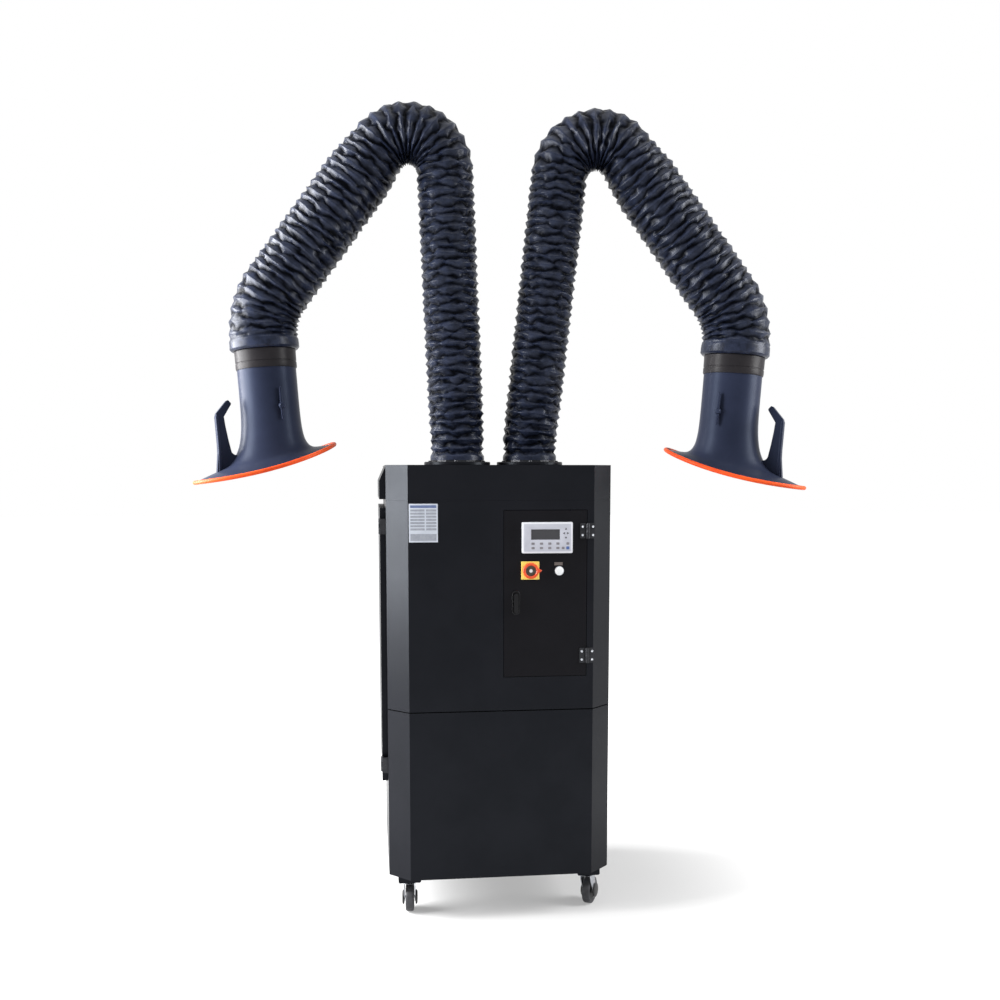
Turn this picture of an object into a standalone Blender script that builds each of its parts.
"""Mobile welding fume extractor with two self-supporting extraction arms.

Metres, +Z up. The origin is on the ground under the middle of the cabinet,
-Y is the front with the control door, +X is the right-hand side seen from it.
"""
import math

import bmesh
import bpy
from mathutils import Matrix, Vector

# Running and seating clearances
GAP = 0.0003
RUNNING_GAP = 0.0006
OVERRUN = 0.004

# Cabinet sheet metal
CABINET_WIDTH = 0.650
CABINET_DEPTH = 0.600
CORNER_CHAMFER = 0.060
SHEET = 0.002
GROUND_CLEARANCE = 0.128
LOWER_HEIGHT = 0.492
UPPER_HEIGHT = 0.603
CAP_HEIGHT = 0.100
PANEL_SEAM = 0.003
PANEL_LIP = 0.014
PAD_SIZE = 0.066
PAD_HEIGHT = 0.020
SEAM_Z = GROUND_CLEARANCE + LOWER_HEIGHT
BODY_TOP = SEAM_Z + UPPER_HEIGHT
CAP_TOP = BODY_TOP + CAP_HEIGHT
HALF_WIDTH = CABINET_WIDTH / 2
HALF_DEPTH = CABINET_DEPTH / 2
FRONT = -HALF_DEPTH
SIDE_COVER_DEPTH = 0.018
SIDE_COVER_SLOPE = 0.045

# Casters
CASTER_SIDE_INSET = 0.059
CASTER_END_INSET = 0.074
CASTER_X = HALF_WIDTH - CASTER_SIDE_INSET
CASTER_Y = HALF_DEPTH - CASTER_END_INSET
CASTER_PLATE = 0.062
SWIVEL_REST = {"front_left": math.radians(-4), "front_right": math.radians(-30),
               "rear_left": math.radians(12), "rear_right": math.radians(-18)}
CASTER_PLATE_THICKNESS = 0.003
SWIVEL_TRAIL = 0.028
WHEEL_RADIUS = 0.041
WHEEL_WIDTH = 0.024
WHEEL_BORE = 0.005
WHEEL_CROWN = 0.004
HUB_RADIUS = 0.022
HUB_RECESS = 0.004
RACE_RADIUS = 0.021
RACE_HEIGHT = 0.005
CROWN_THICKNESS = 0.0025
FORK_LEG_WIDTH = 0.026
FORK_SIDE_GAP = 0.0025
FORK_SHEET = 0.0025
GUARD_RADIUS = 0.021
GUARD_THICKNESS = 0.006
AXLE_RADIUS = WHEEL_BORE - RUNNING_GAP

# Control door and its opening in the upper front panel
DOOR_SIDE_INSET = 0.0794
DOOR_TOP_INSET = 0.0266
DOOR_WIDTH = 0.2412
DOOR_HEIGHT = 0.4789
DOOR_RIGHT = HALF_WIDTH - DOOR_SIDE_INSET
DOOR_LEFT = DOOR_RIGHT - DOOR_WIDTH
DOOR_TOP = BODY_TOP - DOOR_TOP_INSET
DOOR_BOTTOM = DOOR_TOP - DOOR_HEIGHT
DOOR_GAP = 0.0015
DOOR_PAN = 0.012
HINGE_KNUCKLE = 0.0050
HINGE_LEAF_WIDTH = 0.022
HINGE_LEAF_THICKNESS = 0.0016
HINGE_HEIGHT = 0.044
HINGE_PIN = 0.0018
HINGE_INSET = 0.060
SCREW_HEAD = 0.0034
SCREW_HEAD_HEIGHT = 0.0018
SCREW_PITCH = 0.024
SCREW_OFFSET = 0.015
ELECTRICAL_DEPTH = 0.150
ELECTRICAL_MARGIN = 0.008

# Operator panel, switch, lamp and lock on the control door
HMI_WIDTH = 0.1448
HMI_HEIGHT = 0.0878
HMI_SIDE_INSET = 0.0519
HMI_LEFT = DOOR_LEFT + HMI_SIDE_INSET
HMI_RIGHT = HMI_LEFT + HMI_WIDTH
HMI_DROP = 0.0347
HMI_TOP = DOOR_TOP - HMI_DROP
HMI_BOTTOM = HMI_TOP - HMI_HEIGHT
HMI_PROUD = 0.011
LCD_SIDE_INSET = 0.0252
LCD_LEFT = HMI_LEFT + LCD_SIDE_INSET
LCD_WIDTH = 0.0829
LCD_RIGHT = LCD_LEFT + LCD_WIDTH
LCD_DROP = 0.0200
LCD_TOP = HMI_TOP - LCD_DROP
LCD_HEIGHT = 0.0295
LCD_BOTTOM = LCD_TOP - LCD_HEIGHT
LCD_RECESS = 0.003
LCD_GLASS = 0.002
SWITCH_SIDE_INSET = 0.0765
SWITCH_X = DOOR_LEFT + SWITCH_SIDE_INSET
SWITCH_DROP = 0.1721
SWITCH_Z = DOOR_TOP - SWITCH_DROP
SWITCH_PLATE = 0.0516
SWITCH_PLATE_THICKNESS = 0.003
SWITCH_RING_OUTER = 0.0225
SWITCH_RING_INNER = 0.0150
SWITCH_RING_HEIGHT = 0.016
SWITCH_BAR = 0.009
SWITCH_POINTER = 0.0325
SWITCH_SHAFT = 0.004
LAMP_SIDE_INSET = 0.1599
LAMP_X = DOOR_LEFT + LAMP_SIDE_INSET
LAMP_DROP = 0.1737
LAMP_Z = DOOR_TOP - LAMP_DROP
LAMP_RADIUS = 0.0135
LAMP_BEZEL = 0.0025
LAMP_PROUD = 0.009
LOCK_SIDE_INSET = 0.0354
LOCK_X = DOOR_LEFT + LOCK_SIDE_INSET
LOCK_DROP = 0.2638
LOCK_Z = DOOR_TOP - LOCK_DROP
LOCK_WIDTH = 0.0235
LOCK_HEIGHT = 0.069
LOCK_THICKNESS = 0.005
LOCK_LEVER_WIDTH = 0.013
LOCK_LEVER_LENGTH = 0.044
LOCK_LEVER_THICKNESS = 0.007
LOCK_SHAFT = 0.004
LOCK_SHAFT_DROP = 0.014
LOCK_CAM_LENGTH = 0.032
LOCK_CAM_WIDTH = 0.014
LOCK_CAM_THICKNESS = 0.0025

# Service door over the filters, on the left side
SERVICE_FRONT_INSET = 0.095
SERVICE_FRONT = FRONT + SERVICE_FRONT_INSET
SERVICE_REAR_INSET = 0.045
SERVICE_REAR = HALF_DEPTH - SERVICE_REAR_INSET
SERVICE_TOP_INSET = 0.023
SERVICE_TOP = BODY_TOP - SERVICE_TOP_INSET
SERVICE_HEIGHT = 0.800
SERVICE_BOTTOM = SERVICE_TOP - SERVICE_HEIGHT
SERVICE_THICKNESS = 0.017
SERVICE_OVERLAP = 0.025
SERVICE_WALL = 0.0015
SERVICE_KNUCKLE = 0.005
SERVICE_HINGE_INSET = 0.030
PULL_DEPTH = 0.008
PULL_WIDTH = 0.030
PULL_HEIGHT = 0.110

# Filters on their shelf
SHELF_Z = 0.430
SHELF_THICKNESS = 0.003
FILTER_X = 0.150
FILTER_Y = 0.125
FILTER_HEIGHT = 0.610
FILTER_RADIUS = 0.128
FILTER_BORE = 0.080
FILTER_END_RIM = 0.004
FILTER_END_HEIGHT = 0.022
PLEAT_DEPTH = 0.016
PLEAT_COUNT = 18

# Fan in the base of the cabinet
FAN_X = 0.0
FAN_Y = -0.020
FAN_HEIGHT = 0.150
FAN_WALL = 0.003
FAN_INLET = 0.095
FAN_SCROLL_END = 0.225
IMPELLER_RADIUS = 0.140
IMPELLER_EYE = 0.090
IMPELLER_HEIGHT = 0.075
IMPELLER_PLATE = 0.004
IMPELLER_HUB = 0.022
IMPELLER_FLOOR_GAP = 0.045
BLADE_COUNT = 9
BLADE_THICKNESS = 0.003
BLADE_LEAN_SHARE = 0.55
MOTOR_RADIUS = 0.050
MOTOR_HEIGHT = 0.040
MOTOR_SHAFT = 0.008
MOTOR_BOSS = 0.016

# Exhaust grille at the back
GRILLE_WIDTH = 0.400
GRILLE_HEIGHT = 0.200
GRILLE_BOTTOM = 0.150
GRILLE_FRAME = 0.016
GRILLE_PROUD = 0.014
SLAT_COUNT = 8
SLAT_THICKNESS = 0.002
SLAT_SLOPE = math.radians(35)

# Arms: the centreline lies in one upright plane, turned a little about its base
ARM_X = 0.109
ARM_Y = -0.088
ARM_TURN = math.radians(6.8)
ARM_LEAN = {"left": math.radians(2.4), "right": math.radians(6.3)}
ARM_SLANT = {"left": math.radians(52.9), "right": math.radians(54.0)}
HOOD_LEAN = {"left": math.radians(4.0), "right": math.radians(4.0)}
LOWER_RUN = 0.856
ELBOW_RADIUS = 0.108
UPPER_RUN = 0.502
CUFF_RADIUS = 0.205
CUFF_STRAIGHT = 0.040
SHOULDER_SECTION = 0.170
ELBOW_STRAIGHT = 0.100
CUFF_LEAD = 0.100
RIB_PITCH = 0.0275
RIB_DEPTH = 0.005
HOSE_WALL = 0.003
BORE_BEND = math.radians(15)
HOSE_RADIUS_BASE = 0.080
HOSE_RADIUS_LOWER = 0.0845
HOSE_RADIUS_ELBOW = 0.0875
HOSE_RADIUS_UPPER = 0.102
HOSE_RADIUS_CUFF = 0.100
HOSE_RADIUS_COLLAR = 0.088

# Turning base of each arm
BASE_RING_RADIUS = 0.098
BASE_RING_HEIGHT = 0.010
BASE_BOLT_COUNT = 6
BASE_BOLT_CIRCLE = 0.090
TURRET_RADIUS = 0.066
TURRET_WALL = 0.005
TURRET_TOP = 0.045
TURRET_SHOULDER = 0.079
TURRET_LIP = 0.073
TURRET_LIP_HEIGHT = 0.008
TURRET_SHOULDER_HEIGHT = 0.004
HOSE_START = BASE_RING_HEIGHT + TURRET_SHOULDER_HEIGHT + 3 * GAP
CAP_HOLE = 0.076

# Links and friction pivots inside the hoses
SHOULDER_HEIGHT = 0.075
ELBOW_PIVOT_RADIUS = 0.125
HOOD_PIVOT_HEIGHT = 0.050
LINK_HALF_WIDTH = 0.0125
TONGUE_THICKNESS = 0.016
LINK_THICKNESS = 0.018
CHEEK_THICKNESS = 0.005
CHEEK_WIDTH = 0.028
CROSSBAR_HEIGHT = 0.012
PIVOT_PIN = 0.005
PIVOT_HEAD = 0.009
PIVOT_HEAD_HEIGHT = 0.004
LINK_KNEE_SETBACK = 0.045
LINK_CHEEK_LENGTH = 0.075

# Hoods
COLLAR_RADIUS = 0.087
COLLAR_HEIGHT = 0.055
COLLAR_WALL = 0.005
COLLAR_SPIGOT = 0.0735
COLLAR_SPIGOT_WALL = 0.0045
COLLAR_SPIGOT_HEIGHT = 0.030
HOOD_RADIUS = 0.086
HOOD_LENGTH = 0.322
HOOD_WALL = 0.003
HOOD_TURN = math.radians(25)
HOOD_SIDES = 24
MOUTH_HALF_LENGTH = 0.207
MOUTH_HALF_WIDTH = 0.134
MOUTH_OFFSET = 0.027
MOUTH_SLOPE = math.radians(12)
MOUTH_DROOP = 0.017
HOOD_DEPTH_SHARES = (0.0, 0.55, 0.77, 0.88, 0.94, 0.967, 1.0)
HOOD_GROWTH_SHARES = (0.0, 0.0, 0.06, 0.17, 0.30, 0.46, 1.0)
TRIM_RADIUS = 0.006
TRIM_POINTS = HOOD_SIDES
HANDLE_THICKNESS = 0.022
HANDLE_INNER = 0.128
HANDLE_OUTER = 0.164
HANDLE_TIP_REACH = 0.115
HANDLE_TIP_HEIGHT = 0.147
HANDLE_KNEE_HEIGHT = 0.183
HANDLE_GAP_BOTTOM = 0.292
HANDLE_FOOT = 0.175
HANDLE_ROOT = 0.112
HANDLE_TIP_WIDTH = 0.013
DAMPER_DROP = 0.168
DAMPER_TURN = math.radians(33)
DAMPER_DISC = 0.078
DAMPER_PLATE = 0.002
DAMPER_SHAFT = 0.004
DAMPER_KNOB = 0.009
DAMPER_KNOB_HEIGHT = 0.012
DAMPER_LEVER_UP = 0.055
DAMPER_LEVER_DOWN = 0.042
DAMPER_LEVER_WIDTH = 0.010
DAMPER_LEVER_THICKNESS = 0.004
DAMPER_STANDOFF = 0.002

# Facets
ROUND = 20
MID_ROUND = 16
CASTER_ROUND = 12
SMALL_ROUND = 8
SCREW_SIDES = 6
END_ARC_STEPS = 4
BLADE_END_STEPS = 1
SMOOTH_ANGLE = math.radians(40)
MERGE = 0.00001
RIGHT_ANGLE = math.pi / 2
FULL_TURN = 2 * math.pi


def empty_scene():
    """Remove whatever the file holds."""
    for thing in list(bpy.data.objects):
        bpy.data.objects.remove(thing, do_unlink=True)


empty_scene()
MODEL = bpy.data.collections.new("fume_extractor")
CUTTERS = bpy.data.collections.new("fume_extractor_cutters")
bpy.context.scene.collection.children.link(MODEL)
bpy.context.scene.collection.children.link(CUTTERS)


def finish(name, colour, roughness, metallic):
    """A plain Principled material."""
    material = bpy.data.materials.new(name)
    material.use_nodes = True
    shader = material.node_tree.nodes["Principled BSDF"]
    shader.inputs["Base Color"].default_value = (*colour, 1.0)
    shader.inputs["Roughness"].default_value = roughness
    shader.inputs["Metallic"].default_value = metallic
    return material


BLACK_PAINT = finish("black_powder_coat", (0.012, 0.012, 0.014), 0.35, 0.0)
BLACK_PLASTIC = finish("black_plastic", (0.010, 0.010, 0.011), 0.45, 0.0)
HOSE_CLOTH = finish("coated_hose_cloth", (0.014, 0.018, 0.028), 0.32, 0.0)
HOOD_PLASTIC = finish("blue_black_hood_plastic", (0.024, 0.028, 0.048), 0.35, 0.0)
COLLAR_PLASTIC = finish("brown_grey_collar_plastic", (0.060, 0.052, 0.050), 0.35, 0.0)
ORANGE_RUBBER = finish("orange_rubber", (0.80, 0.075, 0.015), 0.50, 0.0)
ZINC = finish("zinc_plated_steel", (0.55, 0.57, 0.60), 0.30, 1.0)
DARK_STEEL = finish("dark_steel", (0.08, 0.08, 0.09), 0.40, 0.8)
WHEEL_RUBBER = finish("wheel_rubber", (0.016, 0.016, 0.018), 0.60, 0.0)
PANEL_GREY = finish("pale_panel_grey", (0.48, 0.48, 0.55), 0.45, 0.0)
DISPLAY_GLASS = finish("display_glass", (0.010, 0.010, 0.013), 0.12, 0.0)
YELLOW_PLASTIC = finish("yellow_plastic", (0.95, 0.70, 0.06), 0.40, 0.0)
RED_PLASTIC = finish("red_plastic", (0.75, 0.07, 0.02), 0.40, 0.0)
LAMP_WHITE = finish("lamp_white", (0.85, 0.87, 0.88), 0.25, 0.0)
FILTER_MEDIA = finish("filter_media", (0.72, 0.72, 0.68), 0.85, 0.0)
ALUMINIUM = finish("cast_aluminium", (0.62, 0.63, 0.65), 0.40, 1.0)


def frame(name, parent=None, location=(0, 0, 0), rotation=(0, 0, 0)):
    """An empty that carries a joint's axis or a local set of directions."""
    empty = bpy.data.objects.new(name, None)
    MODEL.objects.link(empty)
    empty.parent = parent
    empty.location = location
    empty.rotation_euler = rotation
    return empty


def add(name, mesh, parent, material):
    """Link a mesh as one named sub-part."""
    obj = bpy.data.objects.new(name, mesh)
    MODEL.objects.link(obj)
    obj.parent = parent
    mesh.materials.clear()
    if material:
        mesh.materials.append(material)
    return obj


def from_bmesh(name, shape, parent=None, material=None, smooth=False, closed=True):
    """Turn a bmesh into an object; a closed one gets its faces turned outward."""
    if closed:
        bmesh.ops.recalc_face_normals(shape, faces=shape.faces)
    mesh = bpy.data.meshes.new(name)
    shape.to_mesh(mesh)
    shape.free()
    if smooth:
        mesh.shade_smooth()
        mesh.set_sharp_from_angle(angle=SMOOTH_ANGLE)
    return add(name, mesh, parent, material)


def box(name, low, high, parent=None, material=None, bevel=0.0):
    """A block between two corners."""
    low, high = Vector(low), Vector(high)
    shape = bmesh.new()
    bmesh.ops.create_cube(shape, size=1.0)
    bmesh.ops.scale(shape, vec=high - low, verts=shape.verts)
    bmesh.ops.translate(shape, vec=(low + high) / 2, verts=shape.verts)
    obj = from_bmesh(name, shape, parent, material)
    if bevel:
        rounding = obj.modifiers.new("rounded_edges", "BEVEL")
        rounding.width = bevel
        rounding.segments = 2
    return obj


TOWARDS = {
    "X": Matrix.Rotation(RIGHT_ANGLE, 4, "Y"),
    "Y": Matrix.Rotation(-RIGHT_ANGLE, 4, "X"),
    "Z": Matrix.Identity(4),
}


def rod(name, start, length, radius, axis="Z", parent=None, material=None,
        sides=ROUND, end_radius=None, turn=None):
    """A cylinder or cone that grows from start along an axis."""
    shape = bmesh.new()
    bmesh.ops.create_cone(
        shape, cap_ends=True, segments=sides, radius1=radius,
        radius2=radius if end_radius is None else end_radius, depth=length,
        matrix=Matrix.Translation((0, 0, length / 2)))
    placed = Matrix.Translation(start) @ (turn or TOWARDS[axis])
    bmesh.ops.transform(shape, matrix=placed, verts=shape.verts)
    return from_bmesh(name, shape, parent, material, smooth=True)


def settled_mesh(obj):
    """The evaluated mesh of an object, with its doubled points merged."""
    bpy.context.view_layer.update()
    graph = bpy.context.evaluated_depsgraph_get()
    mesh = bpy.data.meshes.new_from_object(obj.evaluated_get(graph), depsgraph=graph)
    shape = bmesh.new()
    shape.from_mesh(mesh)
    bmesh.ops.remove_doubles(shape, verts=shape.verts, dist=MERGE)
    bmesh.ops.recalc_face_normals(shape, faces=shape.faces)
    shape.to_mesh(mesh)
    shape.free()
    return mesh


def solid_from_curve(name, curve, parent, material, placed):
    """Make a curve a mesh object under its parent, and drop the curve."""
    guide = bpy.data.objects.new(name + "_curve", curve)
    MODEL.objects.link(guide)
    mesh = settled_mesh(guide)
    mesh.transform(placed)
    bpy.data.objects.remove(guide, do_unlink=True)
    return add(name, mesh, parent, material)


def plate(name, outlines, thickness, base=0.0, parent=None, material=None, turn=None):
    """A flat outline, with any holes as further outlines, raised from base."""
    curve = bpy.data.curves.new(name, "CURVE")
    curve.dimensions = "2D"
    curve.fill_mode = "BOTH"
    curve.extrude = thickness / 2
    for outline in outlines:
        spline = curve.splines.new("POLY")
        spline.points.add(len(outline) - 1)
        for point, (u, v) in zip(spline.points, outline):
            point.co = (u, v, 0.0, 1.0)
        spline.use_cyclic_u = True
    placed = (turn or Matrix.Identity(4)) @ Matrix.Translation((0, 0, base + thickness / 2))
    return solid_from_curve(name, curve, parent, material, placed)


def tube(name, points, radii, parent=None, material=None, cyclic=False, resolution=2):
    """A round bar through points, with a radius at each of them."""
    curve = bpy.data.curves.new(name, "CURVE")
    curve.dimensions = "3D"
    curve.bevel_depth = 1.0
    curve.bevel_resolution = resolution
    curve.use_fill_caps = True
    spline = curve.splines.new("POLY")
    spline.points.add(len(points) - 1)
    for point, place, radius in zip(spline.points, points, radii):
        point.co = (*place, 1.0)
        point.radius = radius
    spline.use_cyclic_u = cyclic
    return solid_from_curve(name, curve, parent, material, Matrix.Identity(4))


def turned(name, profile, parent=None, material=None, sides=ROUND, closed=False, turn=None):
    """A shape turned about Z from a profile of radius and height."""
    mesh = bpy.data.meshes.new(name + "_profile")
    count = len(profile)
    edges = [(i, i + 1) for i in range(count - 1)]
    if closed:
        edges.append((count - 1, 0))
    mesh.from_pydata([(radius, 0.0, height) for radius, height in profile], edges, [])
    guide = bpy.data.objects.new(name + "_profile", mesh)
    MODEL.objects.link(guide)
    screw = guide.modifiers.new("turned", "SCREW")
    screw.steps = sides
    screw.render_steps = sides
    screw.use_merge_vertices = True
    screw.merge_threshold = MERGE
    solid = settled_mesh(guide)
    if turn:
        solid.transform(turn)
    solid.shade_smooth()
    solid.set_sharp_from_angle(angle=SMOOTH_ANGLE)
    bpy.data.objects.remove(guide, do_unlink=True)
    return add(name, solid, parent, material)


def combine(target, tool, operation):
    """Cut one solid from another, or weld it on, and keep the tool as a guide."""
    change = target.modifiers.new(tool.name, "BOOLEAN")
    change.operation = operation
    change.object = tool
    change.solver = "EXACT"
    MODEL.objects.unlink(tool)
    CUTTERS.objects.link(tool)
    tool.hide_render = True
    tool.display_type = "WIRE"
    return target


def cut(target, *tools):
    for tool in tools:
        combine(target, tool, "DIFFERENCE")
    return target


def weld(target, *tools):
    for tool in tools:
        combine(target, tool, "UNION")
    return target


def clear_of(radius, sides, gap=RUNNING_GAP):
    """Corner radius of a faceted hole whose flats clear a round of this radius."""
    return (radius + gap) / math.cos(math.pi / sides)


def arc(centre, radius, start, end, steps):
    """Points along an arc, both ends included."""
    return [(centre[0] + radius * math.cos(start + (end - start) * i / steps),
             centre[1] + radius * math.sin(start + (end - start) * i / steps))
            for i in range(steps + 1)]


def capsule(half_width, half_height):
    """An upright slot shape with round ends."""
    rise = half_height - half_width
    return (arc((0, rise), half_width, 0, math.pi, END_ARC_STEPS)
            + arc((0, -rise), half_width, math.pi, FULL_TURN, END_ARC_STEPS))


def bar_outline(points, half_width, end_steps=END_ARC_STEPS):
    """The outline of a bar of even width along a bent line, with round ends."""
    points = [Vector(point) for point in points]
    headings = [(b - a).normalized() for a, b in zip(points, points[1:])]
    left, right = [], []
    for i in range(1, len(points) - 1):
        before, after = headings[i - 1], headings[i]
        normal = Vector((-(before.y + after.y), before.x + after.x)).normalized()
        reach = half_width / normal.dot(Vector((-before.y, before.x)))
        left.append(tuple(points[i] + normal * reach))
        right.append(tuple(points[i] - normal * reach))
    first = math.atan2(headings[0].y, headings[0].x)
    last = math.atan2(headings[-1].y, headings[-1].x)
    start_cap = arc(points[0], half_width, first + RIGHT_ANGLE, first + 3 * RIGHT_ANGLE,
                    end_steps)
    end_cap = arc(points[-1], half_width, last - RIGHT_ANGLE, last + RIGHT_ANGLE, end_steps)
    return start_cap + right + end_cap + left[::-1]


def front_corners(inset):
    """The four corners of the bent front, moved in by inset."""
    slant = inset * math.tan(math.pi / 8)
    side = HALF_WIDTH - inset
    return [(-side, FRONT + CORNER_CHAMFER + slant),
            (-HALF_WIDTH + CORNER_CHAMFER + slant, FRONT + inset),
            (HALF_WIDTH - CORNER_CHAMFER - slant, FRONT + inset),
            (side, FRONT + CORNER_CHAMFER + slant)]


def lip_corners(inset):
    """The same corners, with both ends stopped a sheet short along the chamfer."""
    corners = [Vector(corner) for corner in front_corners(inset)]
    for end, along in ((0, 1), (-1, -2)):
        corners[end] += (corners[along] - corners[end]).normalized() * SHEET
    return [tuple(corner) for corner in corners]


def floor_outline(inset, rear_inset):
    """The whole plan of the cabinet, moved in by inset."""
    side = HALF_WIDTH - inset
    return front_corners(inset) + [(side, HALF_DEPTH - rear_inset),
                                   (-side, HALF_DEPTH - rear_inset)]


def make_carcass():
    """Welded sides, back and floor, with the pads that the casters bolt to."""
    edge = FRONT + CORNER_CHAMFER + SHEET * math.tan(math.pi / 8) + GAP
    inner = HALF_WIDTH - SHEET
    wall = [(-HALF_WIDTH, edge), (-HALF_WIDTH, HALF_DEPTH), (HALF_WIDTH, HALF_DEPTH),
            (HALF_WIDTH, edge), (inner, edge), (inner, HALF_DEPTH - SHEET),
            (-inner, HALF_DEPTH - SHEET), (-inner, edge)]
    carcass = plate("carcass", [wall], BODY_TOP - GROUND_CLEARANCE, GROUND_CLEARANCE,
                    None, BLACK_PAINT)
    floor = plate("carcass_floor", [floor_outline(SHEET + GAP, SHEET / 2)], SHEET,
                  GROUND_CLEARANCE)
    side_strips = [box("carcass_strip_" + name, (low, FRONT + CORNER_CHAMFER + SHEET,
                                                 GROUND_CLEARANCE),
                       (high, HALF_DEPTH - SHEET / 2, GROUND_CLEARANCE + SHEET))
                   for name, low, high in (("left", -HALF_WIDTH + SHEET / 2, -inner + SHEET),
                                           ("right", inner - SHEET, HALF_WIDTH - SHEET / 2))]
    weld(carcass, floor, *side_strips)
    for x in (-CASTER_X, CASTER_X):
        for y in (-CASTER_Y, CASTER_Y):
            weld(carcass, *caster_seat(x, y))
    opening = box("service_opening",
                  (-HALF_WIDTH - OVERRUN, SERVICE_FRONT + SERVICE_OVERLAP,
                   SERVICE_BOTTOM + SERVICE_OVERLAP + SHEET),
                  (-inner + OVERRUN, SERVICE_REAR - SERVICE_OVERLAP,
                   SERVICE_TOP - SERVICE_OVERLAP))
    exhaust = box("exhaust_opening",
                  (-GRILLE_WIDTH / 2 + GRILLE_FRAME, HALF_DEPTH - SHEET - OVERRUN,
                   GRILLE_BOTTOM + GRILLE_FRAME),
                  (GRILLE_WIDTH / 2 - GRILLE_FRAME, HALF_DEPTH + OVERRUN,
                   GRILLE_BOTTOM + GRILLE_HEIGHT - GRILLE_FRAME))
    cut(carcass, opening, exhaust)
    return carcass


def front_panel(name, low, high, lip_at_top):
    """A bent front sheet with both chamfers and a folded lip at the seam."""
    outline = front_corners(0.0) + front_corners(SHEET)[::-1]
    panel = plate(name, [outline], high - low, low, None, BLACK_PAINT)
    lip_outline = lip_corners(SHEET / 2) + lip_corners(PANEL_LIP)[::-1]
    lip_base = high - SHEET if lip_at_top else low
    weld(panel, plate(name + "_lip", [lip_outline], SHEET, lip_base))
    return panel


def make_front_panels():
    front_panel("lower_front_panel", GROUND_CLEARANCE, SEAM_Z - PANEL_SEAM / 2, True)
    upper = front_panel("upper_front_panel", SEAM_Z + PANEL_SEAM / 2, BODY_TOP, False)
    weld(upper, box("opening_flange", (DOOR_LEFT - SHEET, FRONT + SHEET / 2,
                                       DOOR_BOTTOM - SHEET),
                    (DOOR_RIGHT + SHEET, FRONT + DOOR_PAN, DOOR_TOP + SHEET)))
    cut(upper, box("control_opening", (DOOR_LEFT, FRONT - OVERRUN, DOOR_BOTTOM),
                   (DOOR_RIGHT, FRONT + DOOR_PAN + OVERRUN, DOOR_TOP)))


def make_cap():
    """The lid that carries both arms, with a sloped cover over the service door."""
    base = BODY_TOP + GAP
    wall = [floor_outline(0.0, 0.0), floor_outline(SHEET, SHEET)]
    cap = plate("top_cap", wall, CAP_TOP - base, base, None, BLACK_PAINT)
    top = plate("cap_top", [floor_outline(SHEET / 2, SHEET / 2)], SHEET, CAP_TOP - SHEET)
    weld(cap, top)
    for x in (-ARM_X, ARM_X):
        cut(cap, rod("cap_hole", (x, ARM_Y, CAP_TOP - SHEET - OVERRUN),
                     SHEET + 2 * OVERRUN, CAP_HOLE))
    outer = -HALF_WIDTH - SIDE_COVER_DEPTH
    root = -HALF_WIDTH + SHEET / 2
    cover_base = base + SHEET
    profile = [(root, cover_base), (outer, cover_base),
               (outer, CAP_TOP - SIDE_COVER_SLOPE), (root, CAP_TOP - SHEET)]
    upright = Matrix.Rotation(RIGHT_ANGLE, 4, "X")
    cover = plate("cap_side_cover", [profile], SERVICE_REAR - SERVICE_FRONT,
                  -SERVICE_REAR, turn=upright)
    weld(cap, cover)
    return cap


def make_shelf():
    """The shelf that the cartridges stand on, with their two air outlets."""
    outline = floor_outline(SHEET + GAP, SHEET + GAP)
    holes = [arc((x, FILTER_Y), FILTER_BORE - SHEET, 0, FULL_TURN * (ROUND - 1) / ROUND,
                 ROUND - 1) for x in (-FILTER_X, FILTER_X)]
    return plate("filter_shelf", [outline] + holes, SHELF_THICKNESS, SHELF_Z, None,
                 BLACK_PAINT)


def pleated_ring(radius, depth, count):
    """A star-shaped outline, one point out and one point in for each pleat."""
    points = []
    for i in range(2 * count):
        reach = radius if i % 2 == 0 else radius - depth
        angle = math.pi * (i + 1 / 2) / count
        points.append((reach * math.cos(angle), reach * math.sin(angle)))
    return points


def make_filters():
    """Two upright pleated cartridges, open below and closed on top."""
    base = SHELF_Z + SHELF_THICKNESS + GAP
    rim = FILTER_RADIUS + FILTER_END_RIM
    lid_base = FILTER_HEIGHT - FILTER_END_HEIGHT
    for side, x in (("left", -FILTER_X), ("right", FILTER_X)):
        stand = frame("filter_axis_" + side, location=(x, FILTER_Y, base))
        bore = arc((0, 0), FILTER_BORE, 0, FULL_TURN * (ROUND - 1) / ROUND, ROUND - 1)
        star = pleated_ring(FILTER_RADIUS, PLEAT_DEPTH, PLEAT_COUNT)
        media = plate("filter_cartridge_" + side, [star, bore], lid_base,
                      FILTER_END_HEIGHT / 2, stand, FILTER_MEDIA)
        foot = turned("filter_foot", [(rim, FILTER_END_HEIGHT), (rim, 0.0),
                                      (FILTER_BORE - SHEET, 0.0),
                                      (FILTER_BORE - SHEET, FILTER_END_HEIGHT)],
                      stand, closed=True)
        lid = rod("filter_lid", (0, 0, lid_base), FILTER_END_HEIGHT, rim, parent=stand)
        weld(media, foot, lid)


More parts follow.
